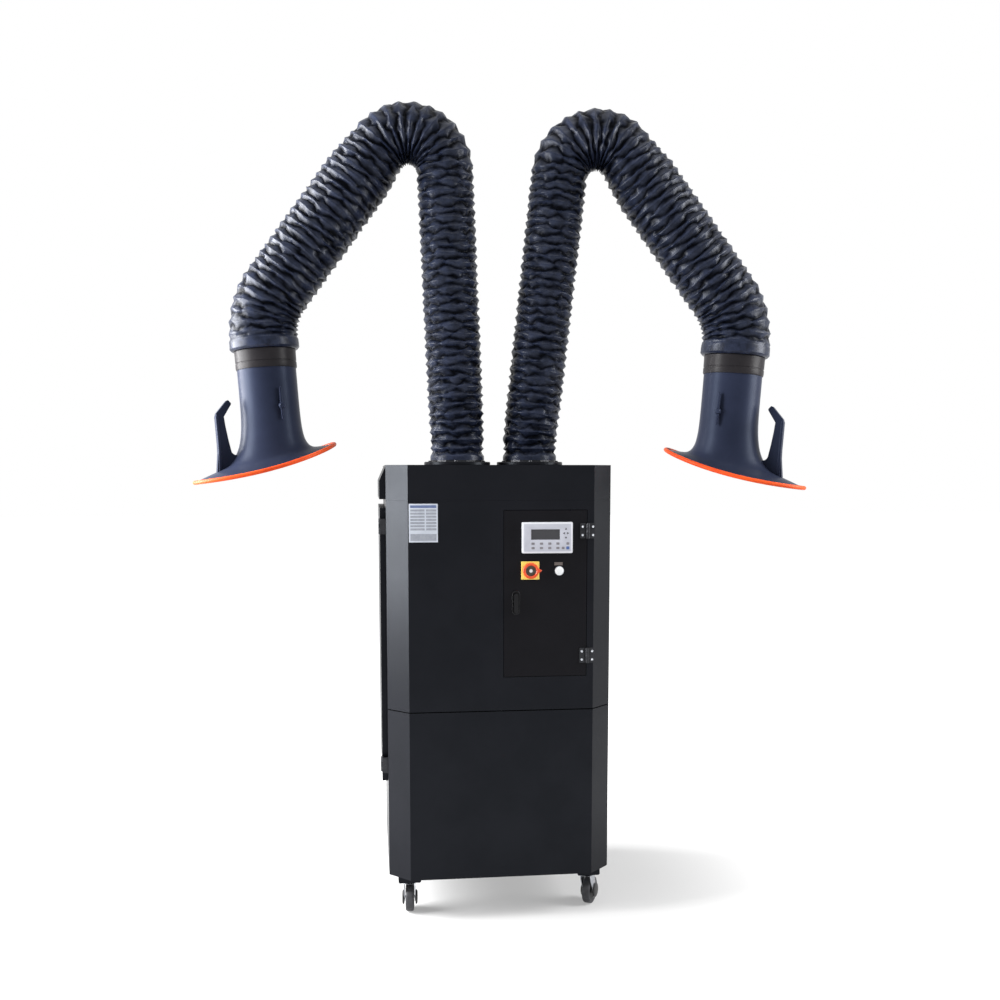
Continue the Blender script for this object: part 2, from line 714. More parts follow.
def make_fan():
    """Spiral housing with an outlet duct, an impeller and an inner-rotor motor."""
    base = GROUND_CLEARANCE + SHEET + GAP
    rear = HALF_DEPTH - SHEET - GAP
    top = base + FAN_HEIGHT
    duct = GRILLE_WIDTH / 2 - GRILLE_FRAME
    housing = rod("fan_housing", (FAN_X, FAN_Y, base), FAN_HEIGHT, FAN_SCROLL_END,
                  material=BLACK_PAINT)
    outlet = box("fan_outlet", (FAN_X - duct, FAN_Y, base), (FAN_X + duct, rear, top))
    weld(housing, outlet)
    cavity = rod("fan_cavity", (FAN_X, FAN_Y, base + FAN_WALL), FAN_HEIGHT - 2 * FAN_WALL,
                 FAN_SCROLL_END - FAN_WALL)
    outlet_cavity = box("fan_outlet_cavity", (FAN_X - duct + FAN_WALL, FAN_Y, base + FAN_WALL),
                        (FAN_X + duct - FAN_WALL, rear + OVERRUN, top - FAN_WALL))
    inlet = rod("fan_inlet", (FAN_X, FAN_Y, top - FAN_WALL - OVERRUN),
                FAN_WALL + 2 * OVERRUN, FAN_INLET)
    cut(housing, cavity, outlet_cavity, inlet)

    motor_base = base + FAN_WALL + GAP
    spin = frame("fan_axis", location=(FAN_X, FAN_Y, motor_base))
    stub = IMPELLER_FLOOR_GAP + IMPELLER_HUB
    motor = rod("fan_motor", (FAN_X, FAN_Y, motor_base), MOTOR_HEIGHT, MOTOR_RADIUS,
                material=ALUMINIUM)
    weld(motor, rod("motor_shaft", (FAN_X, FAN_Y, motor_base + MOTOR_HEIGHT / 2),
                    stub - MOTOR_HEIGHT / 2, MOTOR_SHAFT, sides=SMALL_ROUND))

    boss_base = motor_base + MOTOR_HEIGHT / 2
    weld(motor, rod("motor_boss", (FAN_X, FAN_Y, boss_base), IMPELLER_FLOOR_GAP - GAP
                    - MOTOR_HEIGHT / 2, MOTOR_BOSS, sides=MID_ROUND))

    plate_base = IMPELLER_FLOOR_GAP
    impeller = rod("fan_impeller", (0, 0, plate_base), IMPELLER_PLATE, IMPELLER_RADIUS,
                   parent=spin, material=ALUMINIUM)
    hub = rod("impeller_hub", (0, 0, plate_base), IMPELLER_HUB, IMPELLER_HUB, parent=spin,
              sides=SMALL_ROUND)
    shroud = turned("impeller_shroud",
                    [(IMPELLER_RADIUS, plate_base + IMPELLER_HEIGHT),
                     (IMPELLER_RADIUS, plate_base + IMPELLER_HEIGHT - IMPELLER_PLATE),
                     (IMPELLER_EYE, plate_base + IMPELLER_HEIGHT - IMPELLER_PLATE),
                     (IMPELLER_EYE, plate_base + IMPELLER_HEIGHT)],
                    parent=spin, closed=True)
    weld(impeller, hub, shroud)
    for i in range(BLADE_COUNT):
        turn = FULL_TURN * i / BLADE_COUNT
        tip = IMPELLER_RADIUS - IMPELLER_PLATE
        root = IMPELLER_EYE * 2 / 3
        line = [(reach * math.cos(turn + lean), reach * math.sin(turn + lean))
                for reach, lean in ((root, 0.0), (tip, -BLADE_LEAN_SHARE))]
        blade = plate("impeller_blade", [bar_outline(line, BLADE_THICKNESS / 2,
                                                     BLADE_END_STEPS)],
                      IMPELLER_HEIGHT - IMPELLER_PLATE, plate_base + IMPELLER_PLATE / 2,
                      parent=spin)
        weld(impeller, blade)
    cut(impeller, rod("impeller_bore", (0, 0, plate_base - OVERRUN),
                      IMPELLER_HUB + 2 * OVERRUN, clear_of(MOTOR_SHAFT, SMALL_ROUND),
                      parent=spin, sides=SMALL_ROUND))


def make_grille():
    """A framed louvre over the exhaust opening."""
    back = HALF_DEPTH + GAP
    low, high = GRILLE_BOTTOM, GRILLE_BOTTOM + GRILLE_HEIGHT
    half = GRILLE_WIDTH / 2
    grille = box("exhaust_grille", (-half, back, low), (half, back + GRILLE_PROUD, high),
                 material=BLACK_PAINT)
    cut(grille, box("grille_hole", (-half + GRILLE_FRAME, back - OVERRUN, low + GRILLE_FRAME),
                    (half - GRILLE_FRAME, back + GRILLE_PROUD + OVERRUN, high - GRILLE_FRAME)))
    clear = GRILLE_HEIGHT - 2 * GRILLE_FRAME
    for i in range(SLAT_COUNT):
        z = low + GRILLE_FRAME + clear * (i + 1 / 2) / SLAT_COUNT
        run = (GRILLE_PROUD / 2 - SLAT_THICKNESS) / math.cos(SLAT_SLOPE)
        line = [(-run * math.cos(SLAT_SLOPE), run * math.sin(SLAT_SLOPE)),
                (run * math.cos(SLAT_SLOPE), -run * math.sin(SLAT_SLOPE))]
        across = (Matrix.Translation((0, back + GRILLE_PROUD / 2, z))
                  @ Matrix(((0, 0, 1, 0), (1, 0, 0, 0), (0, 1, 0, 0), (0, 0, 0, 1))))
        inner = half - GRILLE_FRAME / 2
        slat = bar_outline(line, SLAT_THICKNESS / 2, BLADE_END_STEPS)
        weld(grille, plate("grille_slat", [slat], 2 * inner, -inner, turn=across))


def make_casters():
    """Four swivel casters, standing as the last push left them."""
    race_base = GROUND_CLEARANCE - PAD_HEIGHT - CASTER_PLATE_THICKNESS - RACE_HEIGHT
    for end, y in (("front", -CASTER_Y), ("rear", CASTER_Y)):
        for side, x in (("left", -CASTER_X), ("right", CASTER_X)):
            make_fork_and_wheel(end + "_" + side, x, y, race_base - GAP)


def caster_seat(x, y):
    """Pad, bolted plate and bearing race that a caster swivels under."""
    pad_base = GROUND_CLEARANCE - PAD_HEIGHT
    pad, half = PAD_SIZE / 2, CASTER_PLATE / 2
    plate_base = pad_base - CASTER_PLATE_THICKNESS
    return [box("pad", (x - pad, y - pad, pad_base),
                (x + pad, y + pad, GROUND_CLEARANCE + SHEET / 2)),
            box("caster_plate", (x - half, y - half, plate_base),
                (x + half, y + half, pad_base + CASTER_PLATE_THICKNESS)),
            rod("caster_race", (x, y, plate_base - RACE_HEIGHT),
                RACE_HEIGHT + CASTER_PLATE_THICKNESS, RACE_RADIUS, sides=CASTER_ROUND)]


def make_fork_and_wheel(place, x, y, crown_top):
    swivel = frame("caster_axis_" + place, location=(x, y, 0),
                   rotation=(0, 0, SWIVEL_REST[place]))
    axle = frame("wheel_axis_" + place, swivel, (0, SWIVEL_TRAIL, WHEEL_RADIUS))
    inside = WHEEL_WIDTH / 2 + FORK_SIDE_GAP
    outside = inside + FORK_SHEET
    crown_base = crown_top - CROWN_THICKNESS
    fork = rod("caster_fork_" + place, (0, 0, crown_base), CROWN_THICKNESS, RACE_RADIUS,
               parent=swivel, material=ZINC, sides=CASTER_ROUND)
    half_leg = FORK_LEG_WIDTH / 2
    shape = [(-RACE_RADIUS * 2 / 3, crown_top), (RACE_RADIUS, crown_top),
             (SWIVEL_TRAIL + half_leg, WHEEL_RADIUS),
             (SWIVEL_TRAIL + half_leg / 2, WHEEL_RADIUS - half_leg),
             (SWIVEL_TRAIL - half_leg / 2, WHEEL_RADIUS - half_leg),
             (SWIVEL_TRAIL - half_leg, WHEEL_RADIUS)]
    along_x = Matrix(((0, 0, 1, 0), (1, 0, 0, 0), (0, 1, 0, 0), (0, 0, 0, 1)))
    weld(fork, box("fork_bridge", (-outside, -RACE_RADIUS * 2 / 3, crown_base),
                   (outside, RACE_RADIUS, crown_top), swivel))
    for low in (-outside, inside):
        weld(fork, plate("fork_leg", [shape], FORK_SHEET, low, swivel, turn=along_x))
    reach = outside - FORK_SHEET / 2
    guards = [rod("axle_guard", (start, SWIVEL_TRAIL, WHEEL_RADIUS),
                  GUARD_THICKNESS + FORK_SHEET / 2, GUARD_RADIUS, "X", swivel,
                  sides=CASTER_ROUND)
              for start in (-reach - GUARD_THICKNESS - FORK_SHEET / 2, reach)]
    bar = rod("axle_bar", (-outside, SWIVEL_TRAIL, WHEEL_RADIUS), 2 * outside, AXLE_RADIUS,
              "X", swivel, sides=SMALL_ROUND)
    weld(fork, *guards, bar)
    half = WHEEL_WIDTH / 2
    profile = [(WHEEL_RADIUS - WHEEL_CROWN, half), (WHEEL_RADIUS, half - WHEEL_CROWN),
               (WHEEL_RADIUS, -half + WHEEL_CROWN), (WHEEL_RADIUS - WHEEL_CROWN, -half),
               (HUB_RADIUS, -half), (WHEEL_BORE, -half + HUB_RECESS),
               (WHEEL_BORE, half - HUB_RECESS), (HUB_RADIUS, half)]
    half_facet = Matrix.Rotation(math.pi / MID_ROUND, 4, "Z")
    turned("caster_wheel_" + place, profile, axle, WHEEL_RUBBER, closed=True,
           sides=MID_ROUND, turn=TOWARDS["X"] @ half_facet)


def hinge_axis_control():
    return (DOOR_RIGHT + DOOR_GAP / 2, FRONT - HINGE_KNUCKLE)


def hinge_axis_service():
    return (-HALF_WIDTH - SERVICE_THICKNESS + GAP, SERVICE_FRONT - SERVICE_KNUCKLE - GAP)


def knuckle(name, centre, low, high, radius, pin, parent):
    """One hinge knuckle: a short sleeve round the pin."""
    hole = clear_of(pin, SMALL_ROUND, GAP)
    profile = [(radius, high), (radius, low), (hole, low), (hole, high)]
    place = Matrix.Translation((centre[0], centre[1], 0))
    return turned(name, profile, parent, closed=True, sides=SMALL_ROUND, turn=place)


def hinge_bases(low, high, inset):
    """Lower ends of a door's two hinges."""
    return (("lower", low + inset - HINGE_HEIGHT / 2), ("upper", high - inset - HINGE_HEIGHT / 2))


def screw_heads(x, face, middle, parent):
    """Two pan heads that stand on a leaf."""
    return [rod("screw", (x, face - SCREW_HEAD_HEIGHT, middle + step),
                SCREW_HEAD_HEIGHT + HINGE_LEAF_THICKNESS / 2, SCREW_HEAD * 3 / 4, "Y", parent,
                sides=SCREW_SIDES, end_radius=SCREW_HEAD)
            for step in (-SCREW_PITCH / 2, SCREW_PITCH / 2)]


def make_control_hinges():
    """Fixed leaves of the control door, each with its pin and two outer knuckles."""
    x, y = hinge_axis_control()
    third = HINGE_HEIGHT / 3
    face = FRONT - GAP
    front = face - HINGE_LEAF_THICKNESS
    for place, base in hinge_bases(DOOR_BOTTOM, DOOR_TOP, HINGE_INSET):
        leaf = box("control_hinge_" + place, (x, front, base),
                   (x + HINGE_LEAF_WIDTH, face, base + HINGE_HEIGHT), None, DARK_STEEL)
        cut(leaf, box("leaf_notch", (x - OVERRUN, front - OVERRUN, base + third - GAP),
                      (x + HINGE_KNUCKLE + GAP, face + OVERRUN, base + 2 * third + GAP)))
        for low in (base, base + 2 * third):
            weld(leaf, rod("fixed_knuckle", (x, y, low), third - GAP * (low == base),
                           HINGE_KNUCKLE, sides=SMALL_ROUND))
        weld(leaf, rod("hinge_pin", (x, y, base + third / 2), 2 * third, HINGE_PIN,
                       sides=SMALL_ROUND))
        weld(leaf, *screw_heads(x + SCREW_OFFSET, front, base + HINGE_HEIGHT / 2, None))


def hang_control_door(door):
    """The door's own leaves, with the middle knuckles that turn on the pins."""
    x, y = hinge_axis_control()
    third = HINGE_HEIGHT / 3
    face = FRONT - y
    front = face - HINGE_LEAF_THICKNESS
    parent = door.parent
    for _, base in hinge_bases(DOOR_BOTTOM, DOOR_TOP, HINGE_INSET):
        leaf = box("door_leaf", (-HINGE_LEAF_WIDTH, front, base),
                   (-HINGE_KNUCKLE - GAP, face + SHEET / 2, base + HINGE_HEIGHT), parent)
        low, high = base + third + GAP, base + 2 * third - GAP
        tab = box("door_leaf_tab", (-HINGE_LEAF_WIDTH / 2, front, low),
                  (-HINGE_PIN - 2 * GAP, face - GAP, high), parent)
        weld(door, leaf, tab, knuckle("door_knuckle", (0, 0), low, high, HINGE_KNUCKLE,
                                      HINGE_PIN, parent))
        weld(door, *screw_heads(-SCREW_OFFSET, front, base + HINGE_HEIGHT / 2, parent))


def make_service_hinges():
    """Fixed leaves of the filter door on the cabinet's side, each with its pin."""
    x, y = hinge_axis_service()
    third = HINGE_HEIGHT / 3
    side = -HALF_WIDTH - GAP
    for place, base in hinge_bases(SERVICE_BOTTOM, SERVICE_TOP, SERVICE_HINGE_INSET
                                   + HINGE_HEIGHT / 2):
        leaf = box("service_hinge_" + place, (x - HINGE_LEAF_THICKNESS / 2,
                                              y - HINGE_LEAF_WIDTH, base),
                   (x + HINGE_LEAF_THICKNESS / 2, y, base + HINGE_HEIGHT), None, DARK_STEEL)
        foot = box("hinge_foot", (x - HINGE_LEAF_THICKNESS / 2, y - HINGE_LEAF_WIDTH, base),
                   (side, y - HINGE_LEAF_WIDTH / 2, base + HINGE_HEIGHT))
        weld(leaf, foot)
        reach = SERVICE_KNUCKLE + GAP
        cut(leaf, box("leaf_notch", (x - reach, y - reach, base + third - GAP),
                      (x + reach, y + reach, base + 2 * third + GAP)))
        for low in (base, base + 2 * third):
            weld(leaf, rod("side_knuckle", (x, y, low), third - GAP * (low == base),
                           SERVICE_KNUCKLE, sides=SMALL_ROUND))
        weld(leaf, rod("side_pin", (x, y, base + third / 2), 2 * third, HINGE_PIN,
                       sides=SMALL_ROUND))


def local(world_x, world_y, axis):
    """Plan coordinates seen from a hinge axis."""
    return world_x - axis[0], world_y - axis[1]


def make_control_door(door_frame):
    """A pan-shaped door with everything that is mounted on it."""
    hinge = hinge_axis_control()
    left, face = local(DOOR_LEFT + DOOR_GAP, FRONT, hinge)
    right = local(DOOR_RIGHT - DOOR_GAP, FRONT, hinge)[0]
    low, high = DOOR_BOTTOM + DOOR_GAP, DOOR_TOP - DOOR_GAP
    door = box("control_door", (left, face, low), (right, face + DOOR_PAN, high),
               door_frame, BLACK_PAINT)
    cut(door, box("door_pan", (left + SHEET, face + SHEET, low + SHEET),
                  (right - SHEET, face + DOOR_PAN + OVERRUN, high - SHEET), door_frame))
    lock_x = local(LOCK_X, FRONT, hinge)[0]
    hang_control_door(door)
    lock_axis_z = LOCK_Z + LOCK_HEIGHT / 2 - LOCK_SHAFT_DROP
    cut(door, rod("lock_hole", (lock_x, face - OVERRUN, lock_axis_z), SHEET + 2 * OVERRUN,
                  clear_of(LOCK_SHAFT, SMALL_ROUND), "Y", door_frame, sides=SMALL_ROUND))
    seat = face - GAP

    bezel = box("hmi_panel", (HMI_LEFT - hinge[0], seat - HMI_PROUD, HMI_BOTTOM),
                (HMI_RIGHT - hinge[0], seat, HMI_TOP), door_frame, PANEL_GREY)
    cut(bezel, box("lcd_recess", (LCD_LEFT - hinge[0], seat - HMI_PROUD - OVERRUN, LCD_BOTTOM),
                   (LCD_RIGHT - hinge[0], seat - HMI_PROUD + LCD_RECESS, LCD_TOP), door_frame))
    glass_back = seat - HMI_PROUD + LCD_RECESS - GAP
    box("hmi_display", (LCD_LEFT - hinge[0] + GAP, glass_back - LCD_GLASS, LCD_BOTTOM + GAP),
        (LCD_RIGHT - hinge[0] - GAP, glass_back, LCD_TOP - GAP), door_frame, DISPLAY_GLASS)

    make_switch(door_frame, SWITCH_X - hinge[0], seat)
    lamp_x = LAMP_X - hinge[0]
    dome = [(0.0, LAMP_PROUD), (LAMP_RADIUS / 2, LAMP_PROUD - LAMP_BEZEL / 2),
            (LAMP_RADIUS - LAMP_BEZEL, LAMP_PROUD - LAMP_BEZEL),
            (LAMP_RADIUS, LAMP_PROUD - 2 * LAMP_BEZEL), (LAMP_RADIUS, 0.0), (0.0, 0.0)]
    outwards = Matrix.Translation((lamp_x, seat, LAMP_Z)) @ Matrix.Rotation(RIGHT_ANGLE, 4, "X")
    turned("pilot_lamp", dome, door_frame, LAMP_WHITE, turn=outwards)
    make_lock(door_frame, lock_x, lock_axis_z, seat)


def make_switch(door_frame, x, seat):
    """The main switch: a square plate and a ring handle with a pointer."""
    half = SWITCH_PLATE / 2
    front = seat - SWITCH_PLATE_THICKNESS
    plate_body = box("isolator_plate", (x - half, front, SWITCH_Z - half),
                     (x + half, seat, SWITCH_Z + half), door_frame, YELLOW_PLASTIC)
    cut(plate_body, rod("switch_hole", (x, front - OVERRUN, SWITCH_Z),
                        SWITCH_PLATE_THICKNESS + OVERRUN - GAP,
                        clear_of(SWITCH_SHAFT, SMALL_ROUND), "Y", door_frame,
                        sides=SMALL_ROUND))
    knob = frame("isolator_axis", door_frame, (x, front - GAP, SWITCH_Z))
    outwards = Matrix.Rotation(RIGHT_ANGLE, 4, "X")
    ring = turned("isolator_handle",
                  [(SWITCH_RING_OUTER, SWITCH_RING_HEIGHT), (SWITCH_RING_OUTER, 0.0),
                   (SWITCH_RING_INNER, 0.0), (SWITCH_RING_INNER, SWITCH_RING_HEIGHT)],
                  knob, RED_PLASTIC, closed=True, turn=outwards)
    bar = box("switch_bar", (-SWITCH_RING_OUTER + SHEET, -SWITCH_RING_HEIGHT * 3 / 4,
                             -SWITCH_BAR / 2),
              (SWITCH_RING_OUTER - SHEET, 0.0, SWITCH_BAR / 2), knob)
    pointer = plate("switch_pointer", [[(SWITCH_RING_OUTER - SHEET, -SWITCH_BAR / 2),
                                        (SWITCH_POINTER, 0.0),
                                        (SWITCH_RING_OUTER - SHEET, SWITCH_BAR / 2)]],
                    SWITCH_RING_HEIGHT * 2 / 3, 0.0, knob, turn=outwards)
    shaft = rod("switch_shaft", (0, -SWITCH_RING_HEIGHT / 2, 0),
                SWITCH_RING_HEIGHT / 2 + SWITCH_PLATE_THICKNESS - 2 * GAP, SWITCH_SHAFT, "Y",
                knob, sides=SMALL_ROUND)
    weld(ring, bar, pointer, shaft)


def make_lock(door_frame, x, axis_z, seat):
    """A swing-handle lock: slotted plate outside, lever, shaft and cam."""
    front = seat - LOCK_THICKNESS
    facing = (Matrix.Translation((x, seat, LOCK_Z)) @ Matrix.Rotation(RIGHT_ANGLE, 4, "X"))
    body = plate("lock_body", [capsule(LOCK_WIDTH / 2, LOCK_HEIGHT / 2)], LOCK_THICKNESS, 0.0,
                 door_frame, BLACK_PLASTIC, turn=facing)
    cut(body, rod("lock_body_hole", (x, front - OVERRUN, axis_z), LOCK_THICKNESS + 2 * OVERRUN,
                  clear_of(LOCK_SHAFT, SMALL_ROUND), "Y", door_frame, sides=SMALL_ROUND))
    turn_axis = frame("lock_axis", door_frame, (x, front - GAP, axis_z))
    outwards = Matrix.Rotation(RIGHT_ANGLE, 4, "X")
    lever = plate("lock_lever", [bar_outline([(0.0, 0.0), (0.0, -LOCK_LEVER_LENGTH)],
                                             LOCK_LEVER_WIDTH / 2)],
                  LOCK_LEVER_THICKNESS, 0.0, turn_axis, BLACK_PLASTIC, turn=outwards)
    depth = LOCK_THICKNESS + 2 * GAP + DOOR_PAN + GAP
    shaft = rod("lock_shaft", (0, -LOCK_LEVER_THICKNESS / 2, 0),
                LOCK_LEVER_THICKNESS / 2 + depth + LOCK_CAM_THICKNESS, LOCK_SHAFT, "Y",
                turn_axis, sides=SMALL_ROUND)
    inwards = Matrix.Translation((0, depth + LOCK_CAM_THICKNESS, 0)) @ outwards
    cam = plate("lock_cam", [bar_outline([(0.0, 0.0), (0.0, -LOCK_CAM_LENGTH)],
                                         LOCK_CAM_WIDTH / 2)],
                LOCK_CAM_THICKNESS, 0.0, turn_axis, turn=inwards)
    weld(lever, shaft, cam)


def make_electrics():
    """The control compartment behind the door, with its devices on a plate."""
    left, right = DOOR_LEFT - ELECTRICAL_MARGIN, DOOR_RIGHT + ELECTRICAL_MARGIN
    low, high = DOOR_BOTTOM - ELECTRICAL_MARGIN, DOOR_TOP + ELECTRICAL_MARGIN
    near = FRONT + SHEET + GAP
    far = near + ELECTRICAL_DEPTH
    tray = box("control_compartment", (left, near, low), (right, far, high),
               material=PANEL_GREY)
    cut(tray, box("compartment_inside", (left + SHEET, near - OVERRUN, low + SHEET),
                  (right - SHEET, far - SHEET, high - SHEET)))
    back = far - SHEET - GAP
    width = right - left
    devices = box("electrical_devices", (left + width / 9, back - SHEET, low + DOOR_PAN),
                  (right - width / 9, back, high - DOOR_PAN), material=BLACK_PLASTIC)
    for share_low, share_high, base, height, depth in (
            (1 / 8, 1 / 2, DOOR_TOP - HINGE_INSET - LOCK_HEIGHT, LOCK_HEIGHT, DOOR_PAN * 5),
            (5 / 9, 7 / 9, DOOR_TOP - HINGE_INSET - LOCK_HEIGHT, LOCK_HEIGHT, DOOR_PAN * 6),
            (1 / 8, 3 / 8, LOCK_Z - LOCK_HEIGHT, LOCK_HEIGHT, DOOR_PAN * 6),
            (4 / 9, 5 / 8, LOCK_Z - LOCK_HEIGHT, LOCK_HEIGHT, DOOR_PAN * 5),
            (1 / 8, 7 / 8, DOOR_BOTTOM + HINGE_HEIGHT, HINGE_HEIGHT, DOOR_PAN * 3)):
        weld(devices, box("device", (left + width * share_low, back - depth, base),
                          (left + width * share_high, back - SHEET / 2, base + height)))


def make_service_door(service_frame):
    """A shallow pan hung at its front edge, with a finger pull at its back edge."""
    axis = hinge_axis_service()
    outer = -HALF_WIDTH - GAP - SERVICE_THICKNESS - axis[0]
    inner = -HALF_WIDTH - GAP - axis[0]
    near, far = SERVICE_FRONT - axis[1], SERVICE_REAR - axis[1]
    door = box("service_door", (outer, near, SERVICE_BOTTOM), (inner, far, SERVICE_TOP),
               service_frame, BLACK_PAINT)
    cut(door, box("service_pan", (outer + SERVICE_WALL, near + SERVICE_WALL * 4,
                                  SERVICE_BOTTOM + SERVICE_WALL * 4),
                  (inner + OVERRUN, far - SERVICE_WALL * 4, SERVICE_TOP - SERVICE_WALL * 4),
                  service_frame))
    middle = (SERVICE_BOTTOM + SERVICE_TOP) / 2
    pull = box("pull_cup", (outer, far - 2 * PULL_WIDTH - SHEET, middle - PULL_HEIGHT / 2 - SHEET),
               (outer + PULL_DEPTH + SHEET, far - PULL_WIDTH + SHEET,
                middle + PULL_HEIGHT / 2 + SHEET), service_frame)
    weld(door, pull)
    cut(door, box("pull_recess", (outer - OVERRUN, far - 2 * PULL_WIDTH, middle - PULL_HEIGHT / 2),
                  (outer + PULL_DEPTH, far - PULL_WIDTH, middle + PULL_HEIGHT / 2),
                  service_frame))
    third = HINGE_HEIGHT / 3
    for _, base in hinge_bases(SERVICE_BOTTOM, SERVICE_TOP, SERVICE_HINGE_INSET
                               + HINGE_HEIGHT / 2):
        low, high = base + third + GAP, base + 2 * third - GAP
        tab = box("hinge_tab", (-HINGE_LEAF_THICKNESS / 2, HINGE_PIN + 2 * GAP, low),
                  (HINGE_LEAF_THICKNESS / 2, near + SERVICE_WALL * 2, high), service_frame)
        weld(door, tab, knuckle("door_knuckle", (0, 0), low, high, SERVICE_KNUCKLE,
                                HINGE_PIN, service_frame))


class ArmPath:
    """The hose centreline of one arm: reach out from its base, height over the cap."""

    def __init__(self, side):
        lean, slant, drop = ARM_LEAN[side], ARM_SLANT[side], HOOD_LEAN[side]
        self.rise = Vector((math.sin(lean), math.cos(lean)))
        self.fall = Vector((math.cos(slant), -math.sin(slant)))
        self.down = Vector((-math.sin(drop), -math.cos(drop)))
        self.shoulder = Vector((0.0, SHOULDER_HEIGHT))
        self.elbow_start = self.shoulder + self.rise * (LOWER_RUN - SHOULDER_HEIGHT)
        self.elbow_centre = self.elbow_start + self.inward(self.rise) * ELBOW_RADIUS
        self.elbow_turn = RIGHT_ANGLE + slant - lean
        self.elbow_end = self.elbow_centre - self.inward(self.fall) * ELBOW_RADIUS
        self.cuff_start = self.elbow_end + self.fall * UPPER_RUN
        self.cuff_turn = RIGHT_ANGLE + drop - slant
        self.cuff_centre = self.cuff_start + self.inward(self.fall) * CUFF_RADIUS
        self.cuff_end = self.cuff_centre - self.inward(self.down) * CUFF_RADIUS
        self.collar = self.cuff_end + self.down * CUFF_STRAIGHT
        runs = (SHOULDER_HEIGHT, LOWER_RUN - SHOULDER_HEIGHT,
                ELBOW_RADIUS * self.elbow_turn, UPPER_RUN, CUFF_RADIUS * self.cuff_turn,
                CUFF_STRAIGHT)
        self.marks = [sum(runs[:i + 1]) for i in range(len(runs))]
        self.length = self.marks[-1]

    @staticmethod
    def inward(heading):
        return Vector((heading.y, -heading.x))

    def at(self, station):
        """The centreline point at a distance along the hose."""
        pieces = ((Vector((0.0, 0.0)), Vector((0.0, 1.0)), 0.0),
                  (self.shoulder, self.rise, 0.0),
                  (self.elbow_start, self.rise, ELBOW_RADIUS),
                  (self.elbow_end, self.fall, 0.0),
                  (self.cuff_start, self.fall, CUFF_RADIUS),
                  (self.cuff_end, self.down, 0.0))
        index = 0
        while index < len(pieces) - 1 and station > self.marks[index]:
            index += 1
        start, heading, radius = pieces[index]
        left = station - (self.marks[index - 1] if index else 0.0)
        if radius == 0.0:
            return start + heading * left
        angle = left / radius
        return (start + self.inward(heading) * (radius * (1 - math.cos(angle)))
                + heading * (radius * math.sin(angle)))

    def bends(self, start, end):
        """Stations where the bore needs a point: every corner, and along each arc."""
        stations = [start] + [mark for mark in self.marks if start < mark < end] + [end]
        found = [stations[0]]
        for low, high in zip(stations, stations[1:]):
            middle = (low + high) / 2
            arcs = ((self.marks[1], self.marks[2], self.elbow_turn),
                    (self.marks[3], self.marks[4], self.cuff_turn))
            steps = 1
            for arc_start, arc_end, turn in arcs:
                if arc_start < middle < arc_end:
                    share = (high - low) / (arc_end - arc_start)
                    steps = math.ceil(turn * share / BORE_BEND)
            found += [low + (high - low) * (i + 1) / steps for i in range(steps)]
        return found


def hose_radius(path, station):
    """Crest radius of the hose: slim at the base, fuller on the slanted run."""
    _, elbow_in, elbow_out, cuff_in, cuff_out, end = path.marks
    table = ((0.0, HOSE_RADIUS_BASE), (path.marks[0], HOSE_RADIUS_BASE),
             (SHOULDER_SECTION, HOSE_RADIUS_LOWER), (elbow_in, HOSE_RADIUS_LOWER),
             ((elbow_in + elbow_out) / 2, HOSE_RADIUS_ELBOW), (elbow_out, HOSE_RADIUS_ELBOW),
             (elbow_out + ELBOW_STRAIGHT, HOSE_RADIUS_UPPER), (cuff_in, HOSE_RADIUS_UPPER),
             (cuff_out, HOSE_RADIUS_CUFF), (end, HOSE_RADIUS_COLLAR))
    for (s0, r0), (s1, r1) in zip(table, table[1:]):
        if station <= s1:
            return r0 + (r1 - r0) * max(station - s0, 0.0) / (s1 - s0)
    return table[-1][1]


def place_on_arm(point):
    return (point.x, 0.0, point.y)


def hose_section(name, path, start, end, parent, origin):
    """One ribbed stretch of hose with its bore, between two square cuts."""
    start, end = start + GAP / 2, end - GAP / 2
    ribs = max(2, round((end - start) / RIB_PITCH))
    stations = [start + (end - start) * i / (2 * ribs) for i in range(2 * ribs + 1)]
    shift = Vector(origin)
    points = [Vector(place_on_arm(path.at(s))) - shift for s in stations]
    radii = [hose_radius(path, s) - (0.0 if i % 2 else RIB_DEPTH)
             for i, s in enumerate(stations)]
    hose = tube(name, points, radii, parent, HOSE_CLOTH)
    hose.data.shade_smooth()
    inner = path.bends(start, end)
    bore = [Vector(place_on_arm(path.at(s))) - shift for s in inner]
    bore_radii = [hose_radius(path, s) - RIB_DEPTH - HOSE_WALL for s in inner]
    bore[0] += (bore[0] - bore[1]).normalized() * OVERRUN
    bore[-1] += (bore[-1] - bore[-2]).normalized() * OVERRUN
    return cut(hose, tube(name + "_bore", bore, bore_radii, parent))


def pivot_pin(name, centre, parent):
    """A bolt through both cheeks of a pivot, with a head on each side."""
    half = TONGUE_THICKNESS / 2 + GAP + CHEEK_THICKNESS
    x, y, z = centre
    heads = [rod(name + "_head", (x, y + start, z), PIVOT_HEAD_HEIGHT + CHEEK_THICKNESS / 2,
                 PIVOT_HEAD, "Y", parent, sides=END_ARC_STEPS)
             for start in (-half - PIVOT_HEAD_HEIGHT, half - CHEEK_THICKNESS / 2)]
    reach = half + PIVOT_HEAD_HEIGHT / 2
    return [rod(name, (x, y - reach, z), 2 * reach, PIVOT_PIN, "Y", parent,
                sides=SMALL_ROUND)] + heads


def pin_hole(centre, parent):
    x, y, z = centre
    reach = LINK_THICKNESS + 2 * CHEEK_THICKNESS
    return rod("pin_hole", (x, y - reach, z), 2 * reach, clear_of(PIVOT_PIN, SMALL_ROUND, GAP),
               "Y", parent, sides=SMALL_ROUND)


